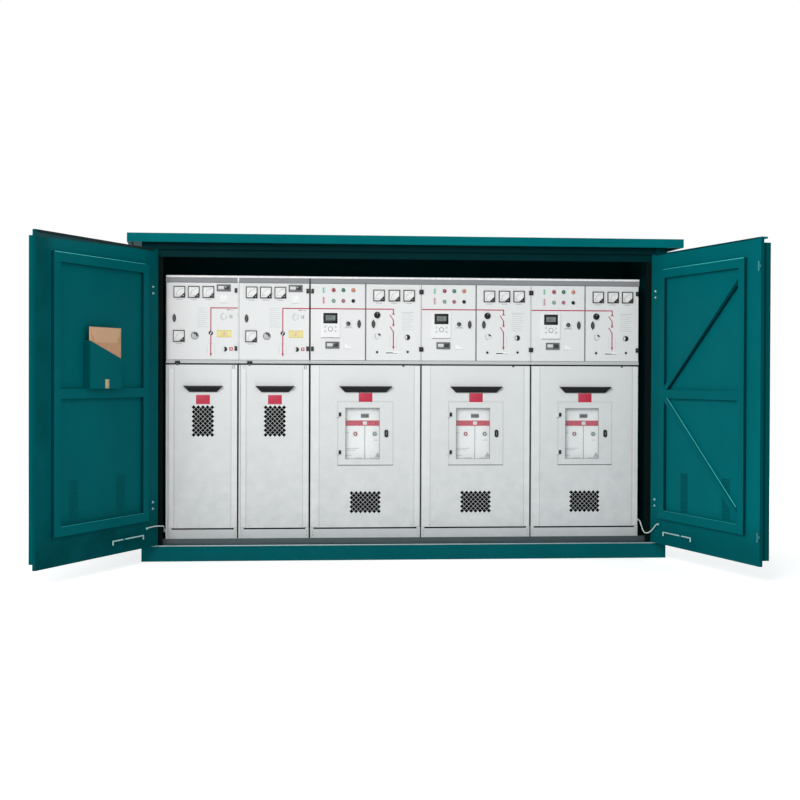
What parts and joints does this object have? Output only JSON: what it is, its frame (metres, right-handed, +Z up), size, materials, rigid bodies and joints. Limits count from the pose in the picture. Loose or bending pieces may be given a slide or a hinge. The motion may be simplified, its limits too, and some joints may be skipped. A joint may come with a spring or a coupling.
{
  "type": "outdoor switchgear kiosk",
  "caption": "Sheet steel kiosk with a flat overhanging roof and hinged double doors that stand open, housing a row of medium voltage switchgear panels with inspection doors.",
  "frame": {"origin": "ground level in the middle of the base", "axes": "+X along the row to the right as seen from the doors, +Y from the doors to the rear wall, +Z up"},
  "size_m": [4.4804, 3.0869, 2.279],
  "materials": {
    "teal_paint": "gloss",
    "bare_steel": "satin",
    "panel_paint": "satin",
    "header_grey": "satin",
    "black_plastic": "matte",
    "lamp_plastic": "gloss",
    "clear_pane": "clear",
    "kraft_paper": "matte",
    "zinc_steel": "satin",
    "lead_sheath": "satin"
  },
  "bodies": {
    "kiosk": {"base_front_beam": "teal_paint", "base_rear_beam": "teal_paint", "base_end_beams": "teal_paint", "base_cross_members": "bare_steel", "floor_plates": "bare_steel", "panel_rails": "bare_steel", "left_wall": "teal_paint", "right_wall": "teal_paint", "rear_wall": "teal_paint", "left_post": "teal_paint", "right_post": "teal_paint", "lintel": "teal_paint", "roof": "teal_paint", "hinge_plates": "teal_paint", "cabinet_1": "panel_paint", "cabinet_2": "panel_paint", "cabinet_3": "panel_paint", "cabinet_4": "panel_paint", "cabinet_5": "panel_paint", "header_bands": "header_grey", "instrument_doors": "panel_paint", "narrow_covers": "panel_paint", "wide_covers": "panel_paint", "vent_grilles": "panel_paint", "cover_handles": "black_plastic", "kick_plates": "panel_paint", "breaker_fronts": "panel_paint", "meters": "black_plastic", "lamps_and_buttons": "lamp_plastic", "protection_relays": "panel_paint", "controllers": "black_plastic", "switch_knobs": "black_plastic", "panel_latches": "black_plastic", "panel_hinges": "black_plastic", "inspection_hinges": "black_plastic", "earth_studs": "zinc_steel", "left_earth_lead": "lead_sheath", "right_earth_lead": "lead_sheath"},
    "left_door": {"left_door_leaf": "teal_paint", "left_door_frame": "teal_paint", "left_door_hinges": "teal_paint", "left_door_strip": "teal_paint", "document_pocket": "teal_paint", "envelope": "kraft_paper", "left_stay_rod": "zinc_steel", "left_door_fittings": "teal_paint"},
    "right_door": {"right_door_leaf": "teal_paint", "right_door_frame": "teal_paint", "right_door_hinges": "teal_paint", "right_door_strip": "teal_paint", "right_stay_rod": "zinc_steel", "right_door_fittings": "teal_paint", "shoot_bolts": "zinc_steel"},
    "inspection_3": {"inspection_door_3": "panel_paint", "inspection_pane_3": "clear_pane"},
    "inspection_4": {"inspection_door_4": "panel_paint", "inspection_pane_4": "clear_pane"},
    "inspection_5": {"inspection_door_5": "panel_paint", "inspection_pane_5": "clear_pane"}
  },
  "joints": [
    {"name": "left_door_hinge", "type": "hinge", "parent": "kiosk", "child": "left_door", "pos_m": [-1.7575, -0.639, 1.1], "axis": [0, 0, -1], "range_deg": [-113.1, 6.9], "deforming": ["left_earth_lead"]},
    {"name": "right_door_hinge", "type": "hinge", "parent": "kiosk", "child": "right_door", "pos_m": [1.7575, -0.639, 1.1], "axis": [0, 0, 1], "range_deg": [-97.8, 22.2], "deforming": ["right_earth_lead"]},
    {"name": "inspection_hinge_3", "type": "hinge", "parent": "kiosk", "child": "inspection_3", "pos_m": [-0.48, -0.486, 0.876], "axis": [0, 0, -1], "range_deg": [0, 110]},
    {"name": "inspection_hinge_4", "type": "hinge", "parent": "kiosk", "child": "inspection_4", "pos_m": [0.305, -0.486, 0.876], "axis": [0, 0, -1], "range_deg": [0, 110]},
    {"name": "inspection_hinge_5", "type": "hinge", "parent": "kiosk", "child": "inspection_5", "pos_m": [1.09, -0.486, 0.876], "axis": [0, 0, -1], "range_deg": [0, 110]}
  ]
}
